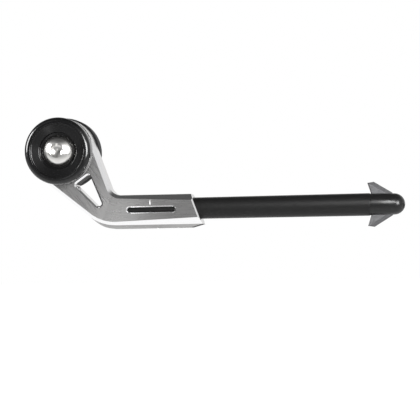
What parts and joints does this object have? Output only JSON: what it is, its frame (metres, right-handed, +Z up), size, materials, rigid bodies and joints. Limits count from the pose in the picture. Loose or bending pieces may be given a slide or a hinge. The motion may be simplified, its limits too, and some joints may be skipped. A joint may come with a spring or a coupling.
{
  "type": "brake lever guard",
  "caption": "Handlebar-end brake lever guard: a dog-leg aluminium arm on a round bar screw stack holds an adjustable guard tube with a finned tip.",
  "frame": {"origin": "on the bar screw's axis, in the spacer's face that seats on the handlebar end", "axes": "+X along the guard tube to its tip, +Y along the bar screw into the handlebar, +Z up"},
  "size_m": [0.1599, 0.041, 0.0494],
  "materials": {
    "black_anodised": "black anodised, satin",
    "silver_anodised": "silver anodised, satin",
    "polished_screw": "stainless steel, polished",
    "dark_screw": "blackened steel",
    "tube_black": "black anodised, matt",
    "tip_plastic": "black, glossy",
    "fin_grey": "grey anodised, satin"
  },
  "bodies": {
    "holder": {"spacer": "black_anodised", "arm": "silver_anodised", "front_cap": "black_anodised", "bar_screw": "polished_screw", "inner_clamp_screw": "dark_screw", "outer_clamp_screw": "dark_screw"},
    "guard": {"guard_tube": "tube_black", "tip_cap": "tip_plastic", "tip_fin": "fin_grey", "fin_pin": "polished_screw"}
  },
  "joints": [
    {"name": "tube_slide", "type": "slide", "parent": "holder", "child": "guard", "axis": [1, 0, 0], "range_m": [0, 0.0105]}
  ]
}
